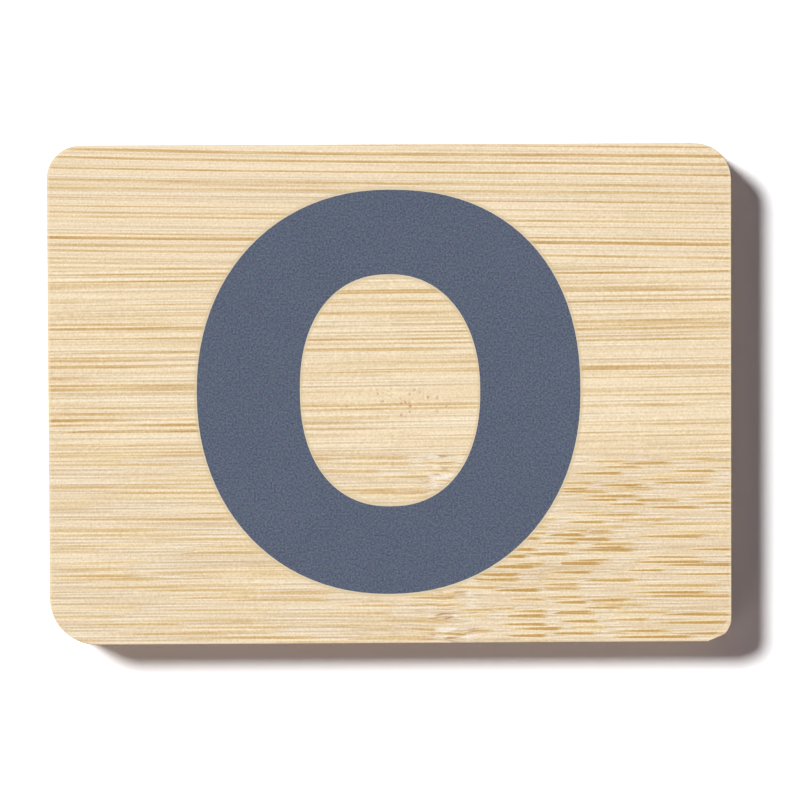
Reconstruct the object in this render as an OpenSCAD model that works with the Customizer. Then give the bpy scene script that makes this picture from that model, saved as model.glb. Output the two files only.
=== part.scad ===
// Letter plate of a toy letter train: three crossed layers of bamboo strips glued into one flat
// plate, with a single oval letter let into the face.
// Millimetres. X runs along the face grain, Y towards the letter's top, Z up from the table.

/* [Plate] */
// Length of the plate, along the face grain
plate_l = 75; // [62:0.5:95]
// Width of the plate, across the face grain
plate_w = 54.8; // [50:0.2:70]
// Radius of the sanded corner at the letter's top left
corner_top_left = 3.6; // [1.5:0.1:6]
// Radius of the sanded corner at the letter's top right
corner_top_right = 4; // [1.5:0.1:6]
// Radius of the sanded corner at the letter's bottom right
corner_bottom_right = 2.6; // [1.5:0.1:6]
// Length, along the bottom edge, of the flat sanded on that same corner
facet_long = 2.75; // [2:0.05:6]
// Length of the flat along the right end
facet_end = 1.15; // [0.6:0.05:3]
// Radius of the sanded corner at the letter's bottom left
corner_bottom_left = 5.2; // [1.5:0.1:6]
// Rounding of the outer edges of the face and of the back
edge_r = 0.1; // [0.05:0.05:0.5]

/* [Bamboo layers] */
// Thickness of the face layer, grain along X
face_t = 2; // [1.5:0.1:4]
// Thickness of the core layer, grain along Y
core_t = 2; // [1:0.1:4]
// Thickness of the back layer, grain along X
back_t = 2; // [1.2:0.1:4]
// Width of a whole bamboo strip
strip_w = 20.4; // [16:0.1:24]
// Width left of the face strip that the plate's top edge cuts
face_cut_w = 13.6; // [8:0.1:16]
// Distance of the core strips' middle right of the plate's middle
core_shift = 0.3; // [-3:0.1:3]
// Distance of the back strips' middle below the plate's middle
back_shift = 1.4; // [-3:0.1:3]

/* [Letter] */
// Width of the letter
letter_w = 42; // [32:0.1:46]
// Height of the letter
letter_h = 44.3; // [34:0.1:47]
// Width of the opening inside the letter
counter_w = 19.9; // [10:0.1:26]
// Height of the opening inside the letter
counter_h = 25.6; // [12:0.1:30]
// Distance of the letter's middle left of the plate's middle
letter_left = 0.15; // [0:0.05:1]
// Distance of the letter's middle above the plate's middle
letter_up = 0.25; // [0:0.05:1]
// Distance of the opening's middle above the letter's middle
counter_up = 0.2; // [0:0.05:1]
// Distance of the opening's middle right of the letter's middle
counter_right = 0.15; // [0:0.05:1]
// Fullness of the letter's outline: 2 is an ellipse, more is squarer
letter_fullness = 2.12; // [2:0.02:3]
// Fullness of the outline's top right quarter
letter_fullness_top_right = 2.28; // [2:0.02:3]
// Fullness of the opening
counter_fullness = 2.26; // [2:0.02:3]
// Fullness of the opening's top right quarter
counter_fullness_top_right = 2.16; // [2:0.02:3]
// Thickness of the letter, which is the depth of its pocket
letter_t = 1.2; // [0.6:0.1:1.4]
// Gap between the letter and the wall of its pocket
letter_gap = 0.05; // [0.02:0.01:0.3]

/* [Hidden] */
$fn = 64;
// Points round an oval
oval_steps = 96;
// How far a cutting shape runs past what it cuts
spare = 1;

core_z = back_t;
face_z = back_t + core_t;
plate_t = back_t + core_t + face_t;

// Strips in each layer
face_n = 3;
core_n = 5;
back_n = 4;

// Width that the saw leaves of the first core and back strip, beside the whole strips
core_cut_w = (plate_l - (core_n - 2) * strip_w) / 2 + core_shift;
back_cut_w = (plate_w - (back_n - 2) * strip_w) / 2 + back_shift;

bamboo = [0.91, 0.82, 0.68];
bamboo_across = [0.86, 0.76, 0.60];
slate_blue = [0.36, 0.40, 0.47];

// Where strip i starts and ends, measured from the edge that cuts the first strip
function strip_start(i, cut_w) = i == 1 ? -spare : cut_w + (i - 2) * strip_w;
function strip_end(i, cut_w, span, count) = i == count ? span + spare : cut_w + (i - 1) * strip_w;

// One point of an oval with fullness n, at angle a
function oval_part(v, n) = sign(v) * pow(abs(v), 2 / n);
function oval_point(w, h, n, a) = [w / 2 * oval_part(cos(a), n), h / 2 * oval_part(sin(a), n)];

// Corner centre, radius and the angle at which its quarter turn starts
corners = [
    [plate_l / 2 - corner_top_right, plate_w / 2 - corner_top_right, corner_top_right, 0],
    [-plate_l / 2 + corner_top_left, plate_w / 2 - corner_top_left, corner_top_left, 90],
    [-plate_l / 2 + corner_bottom_left, -plate_w / 2 + corner_bottom_left, corner_bottom_left, 180],
    [plate_l / 2 - corner_bottom_right, -plate_w / 2 + corner_bottom_right, corner_bottom_right, 270],
];

// Half the section of a layer: straight up the outside, rounded by r at the top
module half_section(reach, t, r) {
    square([reach, t - r]);
    square([reach - r, t]);
    translate([reach - r, t - r])
        circle(r);
}

module full_section(reach, t, r) {
    half_section(reach, t, r);
    mirror([1, 0])
        half_section(reach, t, r);
}

// What the flat on the letter's bottom right corner takes off the plate
module corner_facet() {
    translate([plate_l / 2, -plate_w / 2])
        polygon([[-2 * facet_long, -facet_end], [facet_long, -facet_end], [facet_long, 2 * facet_end]]);
}

// A layer of the plate standing on Z = 0, with its upper outer edge rounded by r
module rounded_layer(t, r) {
    difference() {
        union() {
            difference() {
                intersection() {
                    rotate([90, 0, 0])
                        linear_extrude(plate_w, center = true)
                            full_section(plate_l / 2, t, r);
                    rotate([90, 0, 90])
                        linear_extrude(plate_l, center = true)
                            full_section(plate_w / 2, t, r);
                }
                for (c = corners)
                    translate([c[0], c[1], -spare])
                        rotate(c[3])
                            cube([c[2] + spare, c[2] + spare, t + 2 * spare]);
            }
            for (c = corners)
                translate([c[0], c[1], 0])
                    rotate(c[3])
                        rotate_extrude(angle = 90)
                            half_section(c[2], t, r);
        }
        translate([0, 0, -spare])
            linear_extrude(t + 2 * spare)
                corner_facet();
    }
}

// A layer with square edges
module plain_layer(t) {
    linear_extrude(t)
        difference() {
            square([plate_l, plate_w], center = true);
            for (c = corners)
                translate([c[0], c[1]])
                    rotate(c[3])
                        difference() {
                            square(c[2] + spare);
                            circle(c[2]);
                        }
            corner_facet();
        }
}

// The bands that saw a layer into strips, along X from the top edge and along Y from the left end
module band_along_x(from, to) {
    translate([-plate_l / 2 - spare, plate_w / 2 - to, -spare])
        cube([plate_l + 2 * spare, to - from, plate_t + 2 * spare]);
}

module band_along_y(from, to) {
    translate([-plate_l / 2 + from, -plate_w / 2 - spare, -spare])
        cube([to - from, plate_w + 2 * spare, plate_t + 2 * spare]);
}

// An oval whose top right quarter has a fullness of its own
module oval(w, h, n, n_top_right) {
    angles = [for (i = [0:oval_steps - 1]) 360 * i / oval_steps];
    polygon([for (a = angles) oval_point(w, h, a < 90 ? n_top_right : n, a)]);
}

// The letter's outline, grown by a gap on every side
module letter_outline(gap) {
    translate([-letter_left, letter_up])
        difference() {
            oval(letter_w + 2 * gap, letter_h + 2 * gap, letter_fullness, letter_fullness_top_right);
            translate([counter_right, counter_up])
                oval(counter_w - 2 * gap, counter_h - 2 * gap, counter_fullness, counter_fullness_top_right);
        }
}

module face_strip(i) {
    color(bamboo)
        difference() {
            translate([0, 0, face_z])
                intersection() {
                    rounded_layer(face_t, edge_r);
                    band_along_x(strip_start(i, face_cut_w), strip_end(i, face_cut_w, plate_w, face_n));
                }
            translate([0, 0, plate_t - letter_t])
                linear_extrude(letter_t + spare)
                    letter_outline(letter_gap);
        }
}

module core_strip(i) {
    color(bamboo_across)
        translate([0, 0, core_z])
            intersection() {
                plain_layer(core_t);
                band_along_y(strip_start(i, core_cut_w), strip_end(i, core_cut_w, plate_l, core_n));
            }
}

// The back layer is a face layer turned over, so its rounded edge is at the bottom
module back_strip(i) {
    color(bamboo)
        intersection() {
            translate([0, 0, back_t])
                mirror([0, 0, 1])
                    rounded_layer(back_t, edge_r);
            band_along_x(strip_start(i, back_cut_w), strip_end(i, back_cut_w, plate_w, back_n));
        }
}

module letter() {
    color(slate_blue)
        translate([0, 0, plate_t - letter_t])
            linear_extrude(letter_t)
                letter_outline(0);
}

for (i = [1:face_n])
    face_strip(i);
for (i = [1:core_n])
    core_strip(i);
for (i = [1:back_n])
    back_strip(i);
letter();
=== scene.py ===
import math

import bmesh
import bpy
from mathutils import Matrix, Vector, noise


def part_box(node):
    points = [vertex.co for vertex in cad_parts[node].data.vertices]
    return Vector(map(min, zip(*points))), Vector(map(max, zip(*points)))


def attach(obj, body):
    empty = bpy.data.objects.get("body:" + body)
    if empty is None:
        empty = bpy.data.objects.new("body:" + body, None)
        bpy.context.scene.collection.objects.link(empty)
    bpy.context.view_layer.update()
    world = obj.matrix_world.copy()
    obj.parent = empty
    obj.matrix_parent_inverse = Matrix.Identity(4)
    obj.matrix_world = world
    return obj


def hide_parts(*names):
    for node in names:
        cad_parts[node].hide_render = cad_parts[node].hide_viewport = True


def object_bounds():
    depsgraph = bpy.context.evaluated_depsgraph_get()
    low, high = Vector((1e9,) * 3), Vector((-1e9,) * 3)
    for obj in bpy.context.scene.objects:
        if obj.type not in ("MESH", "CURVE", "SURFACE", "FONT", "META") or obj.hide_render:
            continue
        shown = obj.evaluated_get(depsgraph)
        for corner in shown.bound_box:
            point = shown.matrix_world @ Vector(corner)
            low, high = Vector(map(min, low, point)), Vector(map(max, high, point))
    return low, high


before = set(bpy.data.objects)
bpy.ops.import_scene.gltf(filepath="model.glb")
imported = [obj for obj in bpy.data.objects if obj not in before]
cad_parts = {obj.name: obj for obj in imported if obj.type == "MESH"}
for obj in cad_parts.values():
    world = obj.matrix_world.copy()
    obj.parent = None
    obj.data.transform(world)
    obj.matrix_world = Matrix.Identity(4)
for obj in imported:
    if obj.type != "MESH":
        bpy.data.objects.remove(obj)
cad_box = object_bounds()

# The camera
# A long lens hangs over the plate, a little towards the letter's top left, and looks almost
# straight down, so the plate fills the square picture and its sides barely show.
MM = 0.001
camera_place = Vector((-8.5, 31.2, 600.0)) * MM
camera_target = Vector((1.08, -0.61, 6.0)) * MM
camera_roll = math.radians(-0.235)
camera_sensor = 36.0
camera_lens = 244.0

camera_data = bpy.data.cameras.new("camera")
camera_data.sensor_width = camera_sensor
camera_data.lens = camera_lens
camera = bpy.data.objects.new("camera", camera_data)
towards_camera = (camera_place - camera_target).normalized()
picture_up = Vector((-math.sin(camera_roll), math.cos(camera_roll), 0.0))
picture_right = picture_up.cross(towards_camera).normalized()
picture_up = towards_camera.cross(picture_right)
turn = Matrix((picture_right, picture_up, towards_camera)).transposed()
camera.matrix_world = Matrix.Translation(camera_place) @ turn.to_4x4()
bpy.context.scene.collection.objects.link(camera)
bpy.context.scene.camera = camera

# The face strips
# Three strips split from the wall of a bamboo cane, planed, glued edge to edge with the grain
# along the plate, sanded flush and eased along the plate's outer edge. A laser has cut the
# letter's pocket, and has toasted its lip.
strip_arris = 0.015 * MM
relief_height = 0.012 * MM
relief_step_across = 0.25 * MM
relief_step_along = 2.5 * MM
relief_width = 0.9
straight_run = 25.0
joint_run = 7.0
level_normal = 0.999


def srgb(red, green, blue):
    """A colour given as screen levels from 0 to 255, in the linear values that shaders take."""
    levels = [v / 255 for v in (red, green, blue)]
    linear = [v / 12.92 if v <= 0.04045 else ((v + 0.055) / 1.055) ** 2.4 for v in levels]
    return (*linear, 1.0)


def add_node(tree, kind, *inputs, **settings):
    """Adds a node, sets its properties, and sets or links its inputs in their order."""
    added = tree.nodes.new(kind)
    for name, value in settings.items():
        setattr(added, name, value)
    for socket, value in zip(added.inputs, inputs):
        if isinstance(value, bpy.types.NodeSocket):
            tree.links.new(value, socket)
        elif value is not None:
            socket.default_value = value
    return added


def calc(tree, operation, *inputs):
    """The result of one math node."""
    return add_node(tree, "ShaderNodeMath", *inputs, operation=operation).outputs[0]


def product(tree, first, *others):
    """Several values multiplied together."""
    for other in others:
        first = calc(tree, "MULTIPLY", first, other)
    return first


def vector_calc(tree, operation, *inputs):
    """The vector that one vector math node gives."""
    return add_node(tree, "ShaderNodeVectorMath", *inputs, operation=operation).outputs[0]


def scaled(tree, vector, factor):
    """A vector made longer or shorter."""
    return vector_calc(tree, "SCALE", vector, None, None, factor)


def turned_by(tree, vector, angle):
    """A vector turned about the z axis."""
    return add_node(tree, "ShaderNodeMapping", vector, (0.0, 0.0, 0.0), (0.0, 0.0, angle)).outputs[0]


def ramp(tree, value, start, end):
    """Runs smoothly from 0 to 1 as value goes from start to end."""
    spread = add_node(
        tree, "ShaderNodeMapRange", value, start, end, 0.0, 1.0, interpolation_type="SMOOTHSTEP"
    )
    return spread.outputs[0]


def mixed(tree, share, first, second, kind="MIX"):
    """Two colours mixed by a share of the second."""
    blend = add_node(tree, "ShaderNodeMix", data_type="RGBA", blend_type=kind)
    wanted = ((blend.inputs[0], share), (blend.inputs[6], first), (blend.inputs[7], second))
    for socket, value in wanted:
        if isinstance(value, bpy.types.NodeSocket):
            tree.links.new(value, socket)
        else:
            socket.default_value = value
    return blend.outputs[2]


def stretched_noise(tree, place, along, across, detail):
    """Noise whose grains per millimetre differ along and across the fibres, centred on 0."""
    stretched = vector_calc(tree, "MULTIPLY", place, (along, across, across))
    texture = add_node(tree, "ShaderNodeTexNoise", stretched)
    texture.inputs["Scale"].default_value = 1.0
    texture.inputs["Detail"].default_value = detail
    return calc(tree, "SUBTRACT", texture.outputs[0], 0.5)


def bamboo_grain():
    """The inside of a bamboo strip as a solid, in mm: fibre bundles that run along it in a cream
    ground. Each has a fan of ochre fibre that ends bluntly, and two pale vessels beyond it. At a
    joint of the cane the bundles climb, so that the face cuts them short."""
    # The bundles, their fans of fibre and their vessels, in mm from a bundle's middle
    bundle_turn = math.radians(33)
    bundle_least = 0.65
    bundle_spread = 0.6
    cap_start = -0.33
    cap_end = 0.06
    cap_taper = 0.55
    cap_tip = (0.0, 0.4)
    cap_blunt = (1.15, 0.9)
    cap_edge = (-0.04, 0.06)
    halo_edge = (-0.22, -0.02)
    rim_outside = (-0.18, -0.1)
    rim_inside = (-0.03, -0.08)
    vessel_start = 0.08
    vessel_end = 0.3
    vessel_blur = 0.03
    vessel_fade = 0.6
    vessel_apart = 0.18
    vessel_width = 0.075
    vessel_edge = (1.6 * vessel_width, 0.4 * vessel_width)
    gap_edge = (vessel_apart - vessel_width, 0.02)

    # A joint of the cane, in mm along the strip
    joint_past = 9.5
    joint_spread = 13.0
    joint_rise = 0.8
    ripe_span = (-9.0, 11.0)
    scar_span = (5.0, 0.5)
    scar_seed = (0.0, 0.0, 27.0)

    # Each unevenness: its grains per mm along and across the fibres, and its detail
    wander_grain = (0.012, 0.06, 1.0)
    swirl_grain = (0.16, 0.22, 1.0)
    sway_grain = (0.035, 0.35, 1.0)
    streak_grain = (0.05, 3.0, 0.4)
    thin_grain = (0.035, 3.5, 0.0)
    band_grain = (0.015, 0.3, 2.0)
    rosy_grain = (0.1, 0.45, 2.0)
    speck_grain = (0.3, 3.0, 0.5)
    grit_grain = (3.2, 4.6, 0.3)
    dust_grain = (4.6, 4.6, 0.0)
    thread_grain = (0.15, 4.5, 0.3)
    torn_grain = (0.38, 1.4, 1.5)
    curl_grain = (0.14, 1.8, 1.0)
    patch_grain = (0.3, 0.6, 1.0)

    # The levels of an unevenness between which its mark sets in
    rosy_span = (0.0, 0.2)
    pale_span = (0.08, 0.16)
    dark_span = (-0.08, -0.18)
    torn_span = (0.06, 0.17)
    curl_span = (0.05, 0.0)
    patch_span = (-0.02, 0.06)

    # How much of each shows
    wander_reach = 0.9
    swirl_reach = 1.2
    depth_least = 0.4
    depth_spread = 0.6
    thread_share = 1.5
    ripe_gain = 1.0
    halo_least = 0.55
    halo_ripe = 0.3
    rim_share = 0.6
    gap_shade_share = 0.9
    streak_share = 1.2
    band_share = 0.12
    speck_share = 0.6
    rosy_share = 0.25
    pale_share = 0.6
    dark_share = 0.55
    torn_share = 0.9
    brown_share = 0.75
    grit_share = 0.15
    dust_share = 0.26
    dark_richness = 0.8

    # Relief, and roughness from dull ground to the glossier fibre
    cap_rise = 0.5
    gap_rise = -0.6
    vessel_rise = -0.8
    thin_rise = 0.8
    ground_rough = 0.6
    cap_rough = -0.12
    grit_rough = 0.15

    ground_pale = srgb(246, 229, 199)
    ground_deep = srgb(224, 202, 164)
    ground_rosy = srgb(234, 213, 186)
    near_yellow = srgb(243, 219, 165)
    fibre_ochre = srgb(197, 158, 95)
    line_pale = srgb(253, 240, 210)
    line_dark = srgb(196, 166, 116)
    vessel_pale = srgb(255, 246, 225)
    scar_pale = srgb(251, 242, 224)
    scar_brown = srgb(156, 106, 46)

    tree = bpy.data.node_groups.new("bamboo_grain", "ShaderNodeTree")
    sockets = tree.interface
    sockets.new_socket("Fibre", in_out="INPUT", socket_type="NodeSocketVector")
    usual = {"Pitch": 0.6, "Scatter": 0.75, "Sway": 0.7, "Ochre": 0.9, "Lines": 1.0, "Deep": 0.4,
             "Yellow": 0.1, "Width": 0.165, "Vessels": 0.4, "Joint at": 0.0, "Joint": 0.0}
    for name, value in usual.items():
        sockets.new_socket(name, in_out="INPUT", socket_type="NodeSocketFloat").default_value = value
    sockets.new_socket("Colour", in_out="OUTPUT", socket_type="NodeSocketColor")
    for name in ("Height", "Roughness"):
        sockets.new_socket(name, in_out="OUTPUT", socket_type="NodeSocketFloat")
    given = tree.nodes.new("NodeGroupInput").outputs
    place = given["Fibre"]
    parts = add_node(tree, "ShaderNodeSeparateXYZ", place).outputs

    # Where a point lies in the cane's cross-section, once the fibres have wandered and climbed
    from_joint = calc(tree, "SUBTRACT", parts[0], given["Joint at"])
    beside_joint = ramp(tree, calc(tree, "ABSOLUTE", from_joint), *scar_span)
    beside_joint = product(tree, beside_joint, given["Joint"])
    wander = product(tree, stretched_noise(tree, place, *wander_grain), wander_reach)
    swirl = product(tree, stretched_noise(tree, place, *swirl_grain), beside_joint, swirl_reach)
    across = calc(tree, "ADD", parts[1], calc(tree, "ADD", wander, swirl))
    climb = calc(tree, "DIVIDE", calc(tree, "SUBTRACT", from_joint, joint_past), joint_spread)
    climb = product(tree, calc(tree, "ARCTANGENT", climb), given["Joint"], joint_rise)
    sway = product(tree, stretched_noise(tree, place, *sway_grain), given["Sway"])
    height = calc(tree, "ADD", parts[2], calc(tree, "ADD", climb, sway))
    section = add_node(tree, "ShaderNodeCombineXYZ", across, height, 0.0).outputs[0]
    section = turned_by(tree, section, bundle_turn)
    section = scaled(tree, section, calc(tree, "DIVIDE", 1.0, given["Pitch"]))
    cells = add_node(tree, "ShaderNodeTexVoronoi", section, voronoi_dimensions="2D")
    cells.inputs["Scale"].default_value = 1.0
    tree.links.new(given["Scatter"], cells.inputs["Randomness"])
    chance = add_node(tree, "ShaderNodeSeparateColor", cells.outputs["Color"]).outputs
    offset = vector_calc(tree, "SUBTRACT", section, cells.outputs["Position"])
    offset = turned_by(tree, scaled(tree, offset, given["Pitch"]), -bundle_turn)
    local = add_node(tree, "ShaderNodeSeparateXYZ", offset).outputs
    side = calc(tree, "ABSOLUTE", local[0])

    # Streaks, thin lines, broad bands and specks of the ground, and the fine tooth over all
    streak = stretched_noise(tree, place, *streak_grain)
    thin = stretched_noise(tree, place, *thin_grain)
    band = stretched_noise(tree, place, *band_grain)
    rosy = stretched_noise(tree, place, *rosy_grain)
    speck = stretched_noise(tree, place, *speck_grain)
    grit = stretched_noise(tree, place, *grit_grain)
    dust = stretched_noise(tree, place, *dust_grain)

    # The fan of fibre widens from its tip, ends bluntly, and is made of fine threads
    size = calc(tree, "MULTIPLY_ADD", chance[0], bundle_spread, bundle_least)
    fill = calc(tree, "SUBTRACT", calc(tree, "DIVIDE", local[1], size), cap_start)
    fill = calc(tree, "DIVIDE", fill, cap_end - cap_start)
    reach = calc(tree, "POWER", calc(tree, "MAXIMUM", fill, 0.0), cap_taper)
    reach = product(tree, reach, size, given["Width"])
    room = calc(tree, "SUBTRACT", reach, side)
    length = product(tree, ramp(tree, fill, *cap_tip), ramp(tree, fill, *cap_blunt))
    thread = stretched_noise(tree, place, *thread_grain)
    ripe = product(tree, ramp(tree, from_joint, *ripe_span), given["Joint"])
    depth = calc(tree, "MULTIPLY_ADD", chance[1], depth_spread, depth_least)
    depth = calc(tree, "MULTIPLY_ADD", thread, thread_share, depth)
    depth = product(tree, depth, given["Ochre"], calc(tree, "MULTIPLY_ADD", ripe, ripe_gain, 1.0))
    cap = product(tree, ramp(tree, room, *cap_edge), length, depth)
    halo = calc(tree, "MULTIPLY_ADD", ripe, halo_ripe, halo_least)
    halo = product(tree, halo, ramp(tree, room, *halo_edge), length)
    rim = product(tree, ramp(tree, room, *rim_outside), ramp(tree, room, *rim_inside), length, rim_share)

    # Two vessels beyond the blunt end, opened as pale grooves, with a dark line of painted shade between
    # them
    level = product(tree, ramp(tree, local[1], vessel_start - vessel_blur, vessel_start + vessel_blur),
                    ramp(tree, local[1], vessel_end, vessel_fade * vessel_end))
    beside = calc(tree, "ABSOLUTE", calc(tree, "SUBTRACT", side, vessel_apart))
    vessel = product(tree, level, ramp(tree, beside, *vessel_edge))
    gap = product(tree, level, ramp(tree, side, *gap_edge))

    tone = product(tree, streak, given["Lines"])
    tone = calc(tree, "MULTIPLY_ADD", tone, streak_share, given["Deep"])
    tone = calc(tree, "MULTIPLY_ADD", band, band_share, tone)
    tone = calc(tree, "MULTIPLY_ADD", speck, speck_share, tone)
    colour = mixed(tree, tone, ground_pale, ground_deep)
    colour = mixed(tree, product(tree, ramp(tree, rosy, *rosy_span), rosy_share), colour, ground_rosy)
    colour = mixed(tree, calc(tree, "MAXIMUM", halo, given["Yellow"]), colour, near_yellow)
    pale = product(tree, ramp(tree, thin, *pale_span), given["Lines"], pale_share)
    colour = mixed(tree, pale, colour, line_pale)
    dark = product(tree, ramp(tree, thin, *dark_span), given["Lines"], dark_share)
    colour = mixed(tree, dark, colour, line_dark)
    colour = mixed(tree, rim, colour, line_pale)
    colour = mixed(tree, cap, colour, fibre_ochre)
    colour = mixed(tree, product(tree, vessel, given["Vessels"]), colour, vessel_pale)
    # Painted shade: the dark line between the two opened vessels
    colour = mixed(tree, product(tree, gap, given["Vessels"], gap_shade_share), colour, line_dark)

    # Torn pale tissue and brown threads where the joint's wall crossed the strip
    scar_place = vector_calc(tree, "ADD", place, scar_seed)
    torn = stretched_noise(tree, scar_place, *torn_grain)
    curl = stretched_noise(tree, scar_place, *curl_grain)
    patch = stretched_noise(tree, scar_place, *patch_grain)
    torn = product(tree, ramp(tree, torn, *torn_span), beside_joint, torn_share)
    brown = ramp(tree, calc(tree, "ABSOLUTE", curl), *curl_span)
    brown = product(tree, brown, beside_joint, brown_share, ramp(tree, patch, *patch_span))
    colour = mixed(tree, brown, colour, scar_brown)
    colour = mixed(tree, torn, colour, scar_pale)

    # The tooth's darker grains are also richer in colour
    shade = calc(tree, "MULTIPLY_ADD", grit, grit_share, 1.0)
    shade = calc(tree, "MULTIPLY_ADD", dust, dust_share, shade)
    richness = calc(tree, "MULTIPLY_ADD", shade, -dark_richness, 1.0 + dark_richness)
    colour = add_node(tree, "ShaderNodeHueSaturation", 0.5, richness, shade, 1.0, colour).outputs[0]

    rise = calc(tree, "MULTIPLY_ADD", cap, cap_rise, streak)
    rise = calc(tree, "MULTIPLY_ADD", gap, gap_rise, rise)
    rise = calc(tree, "MULTIPLY_ADD", vessel, vessel_rise, rise)
    rise = calc(tree, "MULTIPLY_ADD", thin, thin_rise, rise)
    rough = calc(tree, "MULTIPLY_ADD", cap, cap_rough, ground_rough)
    rough = calc(tree, "MULTIPLY_ADD", grit, grit_rough, rough)
    made = tree.nodes.new("NodeGroupOutput").inputs
    tree.links.new(colour, made["Colour"])
    tree.links.new(rise, made["Height"])
    tree.links.new(rough, made["Roughness"])
    return tree


def past_lip(tree, place, ovals):
    """How far in mm a point of the bamboo lies from the lip of the letter's pocket. The lip follows
    ovals, each given by its middle and half sizes in mm, its fullness, that of its top right
    quarter, and the side of it, 1 outside or -1 inside, on which the bamboo lies."""
    far_off = -100.0
    nearest = far_off
    for middle, half, fullness, fullness_top_right, outward in ovals:
        share = vector_calc(tree, "SUBTRACT", place, (*middle, 0.0))
        share = vector_calc(tree, "DIVIDE", share, (*half, 1.0))
        sides = add_node(tree, "ShaderNodeSeparateXYZ", share).outputs
        top_right = calc(tree, "GREATER_THAN", calc(tree, "MINIMUM", sides[0], sides[1]), 0.0)
        full = calc(tree, "MULTIPLY_ADD", top_right, fullness_top_right - fullness, fullness)
        parts = add_node(tree, "ShaderNodeSeparateXYZ", vector_calc(tree, "ABSOLUTE", share)).outputs
        powers = [calc(tree, "POWER", parts[i], full) for i in (0, 1)]
        reach = calc(tree, "POWER", calc(tree, "ADD", *powers), calc(tree, "DIVIDE", 1.0, full))
        away = calc(tree, "SUBTRACT", reach, 1.0)
        away = product(tree, away, outward * (half[0] + half[1]) / 2)
        nearest = calc(tree, "MAXIMUM", away, nearest)
    return nearest


def outer_margin(tree, place):
    """1 at the plate's outer edge, falling to 0 within the width that sandpaper rubs, in mm."""
    rubbed_width = 0.4
    corner = 3.6
    any_height = 100.0
    inner = [v / MM - corner for v in cad_box[1].xy]
    past = vector_calc(tree, "SUBTRACT", vector_calc(tree, "ABSOLUTE", place), (*inner, any_height))
    past = vector_calc(tree, "MAXIMUM", past, (0.0, 0.0, 0.0))
    reach = add_node(tree, "ShaderNodeVectorMath", past, operation="LENGTH").outputs["Value"]
    return ramp(tree, reach, corner - rubbed_width, corner - rubbed_width / 2)


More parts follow.
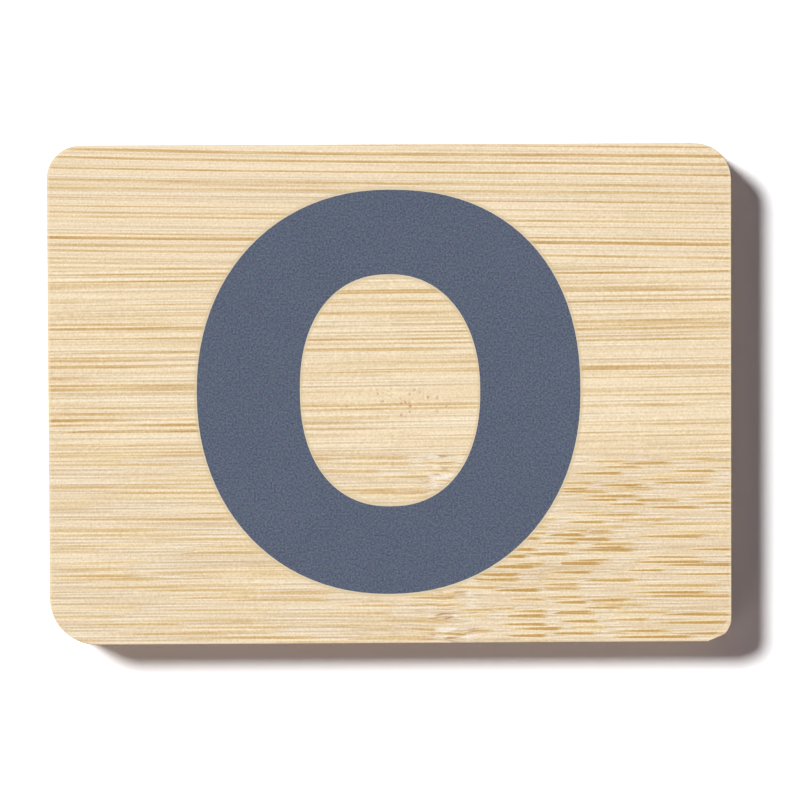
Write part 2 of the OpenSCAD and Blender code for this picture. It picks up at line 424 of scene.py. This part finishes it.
def bamboo(name, slope=0.0, dive=0.0, seed=(0.0, 0.0, 0.0), joint=None, crosswise=False, ovals=(),
           flecks=None, **habit):
    """A satin bamboo material for one strip. Slope and dive, in degrees, lean the fibres in the
    plane of the plate and into it, seed is the place in the cane where it was split, in mm, and
    joint is where a joint of the cane crosses it. Flecks lie about a middle, within a reach. Habit
    is what sets this strip's grain apart from the usual."""
    rubbed_pale = srgb(250, 230, 197)
    rubbed_grain = (2.0, 2.0, 2.0)
    rubbed_share = 0.4
    # Painted shade, in part: the brown that darkens the rounded arris
    arris_shade_brown = srgb(200, 182, 156)
    arris_shade_share = 0.7
    arris_from_top = (0.98, 0.8)
    arris_from_side = (0.05, 0.3)
    toasted_width = 0.33
    toasted_fade = 0.44
    toasted_share = 0.72
    toasted_brim = 0.1
    toasted_beige = srgb(220, 204, 176)
    toasted_ochre = srgb(208, 190, 143)
    fleck_brown = srgb(196, 140, 108)
    fleck_share = 0.85
    fleck_least = 0.5
    fleck_spread = 0.7
    fleck_edge = (0.4, 0.2)
    fleck_chance = (0.4, 0.95)
    fleck_margin = (1.0, 0.6)
    flecks_per_mm = 2.0
    ragged_per_mm = 3.0
    ragged_reach = 0.5
    face_level = 6.0
    fleck_depth = 9.0
    bump_strength = 0.6
    bump_depth = 0.03 * MM
    satin_level = 0.35
    material = bpy.data.materials.new(name)
    material.use_nodes = True
    tree = material.node_tree
    finish = tree.nodes["Principled BSDF"]
    place = add_node(tree, "ShaderNodeTexCoord").outputs["Object"]
    flat = scaled(tree, place, 1 / MM)
    turned = -math.pi / 2 if crosswise else 0.0
    lean = (0.0, -math.radians(dive), turned + math.radians(slope))
    along = add_node(tree, "ShaderNodeMapping", flat, seed, lean).outputs[0]
    grain = add_node(tree, "ShaderNodeGroup", node_tree=bamboo_inside)
    tree.links.new(along, grain.inputs["Fibre"])
    if joint is not None:
        habit = {**habit, "Joint at": seed[0] + joint, "Joint": 1.0}
    for trait, value in habit.items():
        grain.inputs[trait].default_value = value
    colour = grain.outputs["Colour"]
    if flecks:
        middle, reach = flecks
        ragged = add_node(tree, "ShaderNodeTexNoise", scaled(tree, flat, ragged_per_mm))
        ragged = scaled(tree, ragged.outputs["Color"], ragged_reach)
        spots = add_node(tree, "ShaderNodeTexVoronoi", vector_calc(tree, "ADD", flat, ragged))
        spots.inputs["Scale"].default_value = flecks_per_mm
        chance = add_node(tree, "ShaderNodeSeparateColor", spots.outputs["Color"]).outputs
        grown = calc(tree, "MULTIPLY_ADD", chance[1], fleck_spread, fleck_least)
        spot = ramp(tree, calc(tree, "DIVIDE", spots.outputs["Distance"], grown), *fleck_edge)
        about = vector_calc(tree, "SUBTRACT", flat, (*middle, face_level))
        about = vector_calc(tree, "DIVIDE", about, (*reach, fleck_depth))
        about = add_node(tree, "ShaderNodeVectorMath", about, operation="LENGTH").outputs["Value"]
        spot = product(tree, spot, ramp(tree, about, *fleck_margin), ramp(tree, chance[0], *fleck_chance))
        spot = product(tree, spot, fleck_share)
        colour = mixed(tree, spot, colour, fleck_brown)

    # Sandpaper has rubbed the outer edges paler, unevenly where it crosses the fibres
    uneven = calc(tree, "ADD", stretched_noise(tree, flat, *rubbed_grain), rubbed_share)
    colour = mixed(tree, product(tree, outer_margin(tree, flat), uneven), colour, rubbed_pale)
    # Painted shade, in part: the rounded arris all round is darkened towards brown, which tones down the
    # lamp's highlight on the rounding
    upright = add_node(tree, "ShaderNodeNewGeometry").outputs["Normal"]
    upright = calc(tree, "ABSOLUTE", add_node(tree, "ShaderNodeSeparateXYZ", upright).outputs[2])
    shaded_arris = product(tree, ramp(tree, upright, *arris_from_top), ramp(tree, upright, *arris_from_side))
    colour = mixed(tree, product(tree, shaded_arris, arris_shade_share), colour, arris_shade_brown)
    if ovals:
        away = past_lip(tree, flat, ovals)
        toasted = ramp(tree, away, toasted_width + toasted_fade / 2, toasted_width - toasted_fade / 2)
        lip = mixed(tree, ramp(tree, away, toasted_brim, toasted_width), toasted_beige, toasted_ochre)
        colour = mixed(tree, product(tree, toasted, toasted_share), colour, lip)
    tree.links.new(colour, finish.inputs["Base Color"])
    tree.links.new(grain.outputs["Roughness"], finish.inputs["Roughness"])
    bump = add_node(tree, "ShaderNodeBump")
    bump.inputs["Strength"].default_value = bump_strength
    bump.inputs["Distance"].default_value = bump_depth
    tree.links.new(grain.outputs["Height"], bump.inputs["Height"])
    tree.links.new(bump.outputs[0], finish.inputs["Normal"])
    finish.inputs["Specular IOR Level"].default_value = satin_level
    return material


def shade_creased(mesh, flat):
    """Shades a mesh smoothly, with a crease along every arris and all round its flat faces."""
    crease = math.radians(12)
    mesh.normal_update()
    for face in mesh.faces:
        face.smooth = True
    for edge in mesh.edges:
        rim = len(flat.intersection(edge.link_faces)) == 1
        edge.smooth = edge.calc_face_angle(0.0) < crease and not rim


def planed_strip(name, node, material, facing=0.0, grain_run=straight_run, slope=0.0):
    """A strip with every outer arris eased. Its broad side that faces up or down, where facing is
    1 or -1, is cut into a fine grid and keeps the slight ribs that sanding leaves on bamboo."""
    merged_within = 0.0005 * MM
    cut_within = 0.002 * MM
    flat_within = math.radians(0.8)
    arris_over = math.radians(50)
    mesh = bmesh.new()
    mesh.from_mesh(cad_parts[node].data)
    bmesh.ops.remove_doubles(mesh, verts=mesh.verts[:], dist=merged_within)
    bmesh.ops.dissolve_limit(mesh, angle_limit=flat_within, verts=mesh.verts[:], edges=mesh.edges[:])
    sharp = [
        e for e in mesh.edges
        if len(e.link_faces) == 2 and e.calc_face_angle_signed() > arris_over
    ]
    bmesh.ops.bevel(
        mesh, geom=sharp, offset=strip_arris, affect="EDGES", segments=2, profile=0.5, material=-1,
        clamp_overlap=True,
    )
    wide = set()
    if facing:
        low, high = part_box(node)
        level = high.z if facing > 0 else low.z
        broad = [
            f for f in mesh.faces
            if f.normal.z * facing > level_normal
            and abs(f.calc_center_median().z - level) < strip_arris
        ]
        cuts = (
            (Vector((1, 0, 0)), low.x, high.x, relief_step_along),
            (Vector((0, 1, 0)), low.y, high.y, relief_step_across),
        )
        for direction, start, end, step in cuts:
            count = round((end - start) / step)
            for i in range(1, count):
                geometry = dict.fromkeys(broad)
                for f in broad:
                    geometry.update(dict.fromkeys((*f.edges, *f.verts)))
                point = direction * (start + (end - start) * i / count)
                cut = bmesh.ops.bisect_plane(
                    mesh, geom=list(geometry), dist=cut_within, plane_co=point, plane_no=direction
                )
                broad = [g for g in cut["geom"] if isinstance(g, bmesh.types.BMFace)]
        lean = math.tan(math.radians(slope))
        wide = set(broad)
        inner = dict.fromkeys(v for f in broad for v in f.verts if wide.issuperset(v.link_faces))
        ribbed = [
            v for v in inner
            if min(e.calc_length() for e in v.link_edges) >= relief_step_across / 2
        ]
        for vert in ribbed:
            across = vert.co.y + lean * vert.co.x
            grain = (vert.co.x / MM / grain_run, across / MM / relief_width, level / MM)
            vert.co.z += relief_height * noise.noise(Vector(grain))
    shade_creased(mesh, wide)
    data = bpy.data.meshes.new(name)
    mesh.to_mesh(data)
    mesh.free()
    data.materials.append(material)
    piece = bpy.data.objects.new(name, data)
    bpy.context.scene.collection.objects.link(piece)
    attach(piece, "root")
    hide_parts(node)
    return piece


bamboo_inside = bamboo_grain()
letter_low, letter_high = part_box("letter")
letter_middle = (letter_low + letter_high) / 2 / MM
letter_half = (letter_high - letter_low) / 2 / MM
letter_fullness = (2.12, 2.28)
counter_middle = letter_middle.xy + Vector((0.15, 0.2))
counter_half = Vector((9.95, 12.8))
counter_fullness = (2.26, 2.16)
letter_ovals = (
    (letter_middle.xy, letter_half.xy, *letter_fullness, 1.0),
    (counter_middle, counter_half, *counter_fullness, -1.0),
)
face_strips = (
    ("face_strip_1", dict(slope=1.1, dive=0.05, seed=(0, 99, 26), Pitch=0.54, Scatter=0.6, Sway=0.15,
                          Ochre=0.82, Lines=0.55, Deep=0.32, Width=0.17, Vessels=0.3)),
    ("face_strip_2", dict(slope=-0.5, dive=0.4, seed=(0, 126, 40), Pitch=0.56, Sway=0.2, Ochre=0.76,
                          Lines=0.7, Deep=0.34, Yellow=0.26, Width=0.17,
                          flecks=((0.5, -0.9), (8, 2)))),
    ("face_strip_3", dict(slope=0.1, dive=0.9, seed=(0, 228, 65), joint=6.5, Pitch=0.56, Ochre=0.62,
                          Lines=0.65, Deep=0.66, Yellow=0.0, Width=0.18, Vessels=0.5)),
)
for node_name, cane in face_strips:
    planed_strip(
        "sanded_" + node_name, node_name, bamboo("bamboo_" + node_name, ovals=letter_ovals, **cane),
        facing=1.0, slope=cane["slope"],
        grain_run=joint_run if "joint" in cane else straight_run,
    )

# The letter
# A plain oval letter cut from thin sheet, painted matt slate blue and glued into its pocket, level
# with the face. Glue and paint fill the gap round it.
letter_arris = 0.02 * MM
letter_fill = 0.045
square_edge = 1.0
oval_steps = 192


def oval_loop(mesh, middle, half, fullness, grown, level):
    """A ring of vertices on an oval, made from a circle and grown outwards by a few hundredths."""
    ring = bmesh.ops.create_circle(mesh, segments=oval_steps, radius=1.0)["verts"]
    for vert in ring:
        full = fullness[1] if min(vert.co.xy) > 0 else fullness[0]
        bent = Vector([math.copysign(abs(p) ** (2 / full), p) for p in vert.co.xy])
        flat = middle + (half + Vector((grown, grown))) * bent
        vert.co = Vector((flat.x * MM, flat.y * MM, level))
    return ring


def slate_paint():
    """Matt paint with the fine tooth of a sprayed coat and a slight unevenness."""
    paint_dark = srgb(63, 75, 93)
    paint_light = srgb(101, 110, 129)
    tooth_grain = (5.0, 5.0, 2.0)
    tooth_share = 3.0
    cloud_grain = (0.25, 0.25, 2.0)
    cloud_share = 0.2
    pigment_per_mm = 4.0
    pigment_share = 0.035
    matt = 0.72
    matt_spread = 0.2
    bump_strength = 0.5
    bump_depth = 0.01 * MM
    sheen_level = 0.3
    material = bpy.data.materials.new("slate_paint")
    material.use_nodes = True
    tree = material.node_tree
    finish = tree.nodes["Principled BSDF"]
    place = add_node(tree, "ShaderNodeTexCoord").outputs["Object"]
    place = scaled(tree, place, 1 / MM)
    tooth = stretched_noise(tree, place, *tooth_grain)
    cloud = stretched_noise(tree, place, *cloud_grain)
    tone = calc(tree, "MULTIPLY_ADD", tooth, tooth_share, 0.5)
    tone = calc(tree, "MULTIPLY_ADD", cloud, cloud_share, tone)
    colour = mixed(tree, tone, paint_dark, paint_light)
    pigment = add_node(tree, "ShaderNodeTexNoise", scaled(tree, place, pigment_per_mm))
    pigment.inputs["Scale"].default_value = 1.0
    colour = mixed(tree, pigment_share, colour, pigment.outputs["Color"], "LINEAR_LIGHT")
    tree.links.new(colour, finish.inputs["Base Color"])
    rough = calc(tree, "MULTIPLY_ADD", tooth, matt_spread, matt)
    tree.links.new(rough, finish.inputs["Roughness"])
    bump = add_node(tree, "ShaderNodeBump")
    bump.inputs["Strength"].default_value = bump_strength
    bump.inputs["Distance"].default_value = bump_depth
    tree.links.new(tooth, bump.inputs["Height"])
    tree.links.new(bump.outputs[0], finish.inputs["Normal"])
    finish.inputs["Specular IOR Level"].default_value = sheen_level
    return material


mesh = bmesh.new()
oval_loop(mesh, letter_middle.xy, letter_half.xy, letter_fullness, letter_fill, letter_low.z)
oval_loop(mesh, counter_middle, counter_half, counter_fullness, -letter_fill, letter_low.z)
bottom = bmesh.ops.bridge_loops(mesh, edges=mesh.edges[:])["faces"]
raised = bmesh.ops.extrude_face_region(mesh, geom=bottom, use_keep_orig=True)
raised_verts = [g for g in raised["geom"] if isinstance(g, bmesh.types.BMVert)]
bmesh.ops.translate(mesh, verts=raised_verts, vec=(0, 0, letter_high.z - letter_low.z))
bmesh.ops.recalc_face_normals(mesh, faces=mesh.faces[:])
upper = [
    e for e in mesh.edges
    if e.calc_face_angle() > square_edge and min(v.co.z for v in e.verts) > letter_high.z - letter_arris
]
bmesh.ops.bevel(
    mesh, geom=upper, offset=letter_arris, affect="EDGES", segments=2, profile=0.5, material=-1
)
shade_creased(mesh, {f for f in mesh.faces if abs(f.normal.z) > level_normal})
letter_data = bpy.data.meshes.new("painted_letter")
mesh.to_mesh(letter_data)
mesh.free()
letter_data.materials.append(slate_paint())
painted_letter = bpy.data.objects.new("painted_letter", letter_data)
bpy.context.scene.collection.objects.link(painted_letter)
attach(painted_letter, "root")
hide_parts("letter")

# The core strips
# Five strips with their grain across the plate, between the face and the back. Only their ends
# and the long sides of the outer two show, at the plate's edge.
for i in range(1, 6):
    node_name = f"core_strip_{i}"
    cane = bamboo(
        "bamboo_" + node_name, slope=0.4 * (i - 3), seed=(200 + 40 * i, 17 * i, 31 + 5 * i),
        crosswise=True,
    )
    planed_strip("planed_" + node_name, node_name, cane)

# The back strips
# Four strips with the grain along the plate again, glued over the core and sanded like the face.
for i in range(1, 5):
    node_name = f"back_strip_{i}"
    cane = bamboo("bamboo_" + node_name, slope=0.5 * (2 - i), dive=0.2, seed=(400, 30 * i, 60 + 4 * i))
    planed_strip("sanded_" + node_name, node_name, cane, facing=-1.0)

# The table and the light
# A plain white table that burns out to white where the lamp reaches it, as the camera sees it.
# One soft lamp stands high at the upper left, a wide dim one low at the lower left, in a dim room.
floor_width = 4.0
floor_drop = 0.03 * MM
shadow_run = Vector((4.7, -3.3, -6.0))
lamp_spread = math.radians(16.0)
lamp_strength = 3.75
room_light = (0.084, 0.07, 0.082, 1.0)
fill_place = Vector((-0.6, -0.6, 0.4))
fill_width = 0.6
fill_strength = 0.9
fill_colour = (1.0, 0.75, 0.6)
table_lit = (0.5, 0.5, 0.5, 1.0)
table_seen = (1.35, 1.35, 1.35, 1.0)
table_rough = 0.9

mesh = bmesh.new()
bmesh.ops.create_grid(mesh, x_segments=1, y_segments=1, size=floor_width / 2)
bmesh.ops.translate(mesh, verts=mesh.verts[:], vec=(0, 0, -floor_drop))
floor_data = bpy.data.meshes.new("table")
mesh.to_mesh(floor_data)
mesh.free()


def seen_ray(tree):
    """1 on the rays that show a thing to the camera, straight or by reflection, and 0 on others."""
    ray = tree.nodes.new("ShaderNodeLightPath").outputs
    mirrored = calc(tree, "MAXIMUM", ray["Is Glossy Ray"], ray["Is Transmission Ray"])
    return calc(tree, "MAXIMUM", ray["Is Camera Ray"], mirrored)


table_white = bpy.data.materials.new("table_white")
table_white.use_nodes = True
tree = table_white.node_tree
table_finish = tree.nodes["Principled BSDF"]
table_colour = mixed(tree, seen_ray(tree), table_lit, table_seen)
tree.links.new(table_colour, table_finish.inputs["Base Color"])
table_finish.inputs["Roughness"].default_value = table_rough
table_finish.inputs["Specular IOR Level"].default_value = 0.0
floor_data.materials.append(table_white)
floor = bpy.data.objects.new("table", floor_data)
bpy.context.scene.collection.objects.link(floor)

lamp_data = bpy.data.lights.new("lamp", "SUN")
lamp_data.energy = lamp_strength
lamp_data.angle = lamp_spread
lamp = bpy.data.objects.new("lamp", lamp_data)
lamp.matrix_world = shadow_run.to_track_quat("-Z", "Y").to_matrix().to_4x4()
bpy.context.scene.collection.objects.link(lamp)

fill_data = bpy.data.lights.new("fill", "AREA")
fill_data.size = fill_width
fill_data.energy = fill_strength
fill_data.color = fill_colour
fill = bpy.data.objects.new("fill", fill_data)
fill_turn = (-fill_place).to_track_quat("-Z", "Y").to_matrix().to_4x4()
fill.matrix_world = Matrix.Translation(fill_place) @ fill_turn
bpy.context.scene.collection.objects.link(fill)

world = bpy.data.worlds.new("room")
world.use_nodes = True
bpy.context.scene.world = world
tree = world.node_tree
room = tree.nodes["Background"]
room.inputs["Color"].default_value = room_light
seen = tree.nodes.new("ShaderNodeBackground")
seen.inputs["Color"].default_value = (1.0, 1.0, 1.0, 1.0)
either = add_node(tree, "ShaderNodeMixShader", seen_ray(tree), room.outputs[0], seen.outputs[0])
tree.links.new(either.outputs[0], tree.nodes["World Output"].inputs["Surface"])
bpy.context.scene.view_settings.view_transform = "Standard"
